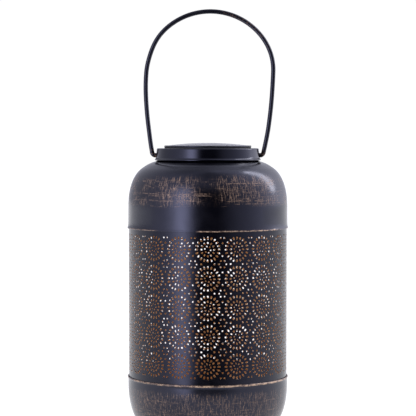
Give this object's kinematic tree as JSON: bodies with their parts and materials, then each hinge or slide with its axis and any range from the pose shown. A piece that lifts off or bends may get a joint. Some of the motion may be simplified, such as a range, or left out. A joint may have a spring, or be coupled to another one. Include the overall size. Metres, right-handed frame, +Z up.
{
  "type": "lantern",
  "caption": "Pierced cylindrical metal lantern with a domed shoulder, a swinging wire bail and a lift-out solar lamp module in its neck.",
  "frame": {"origin": "centre of the foot ring's plane, on the body's axis, so the lantern stands on z = 0", "axes": "+Z up along the body's axis, +X along the axis through the bail's two pivots, -Y is the side that faces a viewer"},
  "size_m": [0.1419, 0.1418, 0.3711],
  "materials": {
    "black_bronze": "satin black paint with a dry-brushed copper rub",
    "collar_black": "smooth satin black paint",
    "wire_black": "satin black paint, worn to copper at the ends",
    "black_plastic": "moulded ABS, fine texture",
    "panel_board": "dark laminate",
    "silicon": "dark blue cell",
    "tinned_metal": "bright tinned or nickel plated",
    "clear_resin": "clear cast cover, lightly crowned",
    "foam_rubber": "closed-cell foam",
    "cell_sleeve": "shrink sleeve",
    "green_board": "solder mask",
    "component_black": "moulded",
    "led_resin": "clear warm white lamp",
    "frosted": "frosted diffuser",
    "red_wire": "PVC insulation",
    "black_wire": "PVC insulation"
  },
  "bodies": {
    "lantern_body": {"base_cup": "black_bronze", "perforated_screen": "black_bronze", "shoulder_dome": "black_bronze", "neck_collar": "collar_black"},
    "handle": {"bail_handle": "wire_black"},
    "lamp_module": {"module_housing": "black_plastic", "panel_substrate": "panel_board", "solar_cells": "silicon", "cell_busbars": "tinned_metal", "panel_cover": "clear_resin", "sealing_gasket": "foam_rubber", "module_bottom_cover": "black_plastic", "cover_screws": "tinned_metal", "battery_door": "black_plastic", "battery_door_screw": "tinned_metal", "battery_cell": "cell_sleeve", "battery_spring": "tinned_metal", "battery_contact_plate": "tinned_metal", "circuit_board": "green_board", "board_components": "component_black", "board_screws": "tinned_metal", "led_lamp": "led_resin", "lamp_diffuser": "frosted", "switch_body": "tinned_metal", "positive_leads": "red_wire", "negative_leads": "black_wire"},
    "switch": {"switch_slider": "black_plastic"}
  },
  "joints": [
    {"name": "handle_swing", "type": "hinge", "parent": "lantern_body", "child": "handle", "pos_m": [0, 0, 0.2427], "axis": [1, 0, 0], "range_deg": [-105, 105]},
    {"name": "module_lift", "type": "slide", "parent": "lantern_body", "child": "lamp_module", "axis": [0, 0, 1], "range_m": [0, 0.08]},
    {"name": "switch_slide", "type": "slide", "parent": "lamp_module", "child": "switch", "axis": [1, 0, 0], "range_m": [0, 0.0024]}
  ]
}
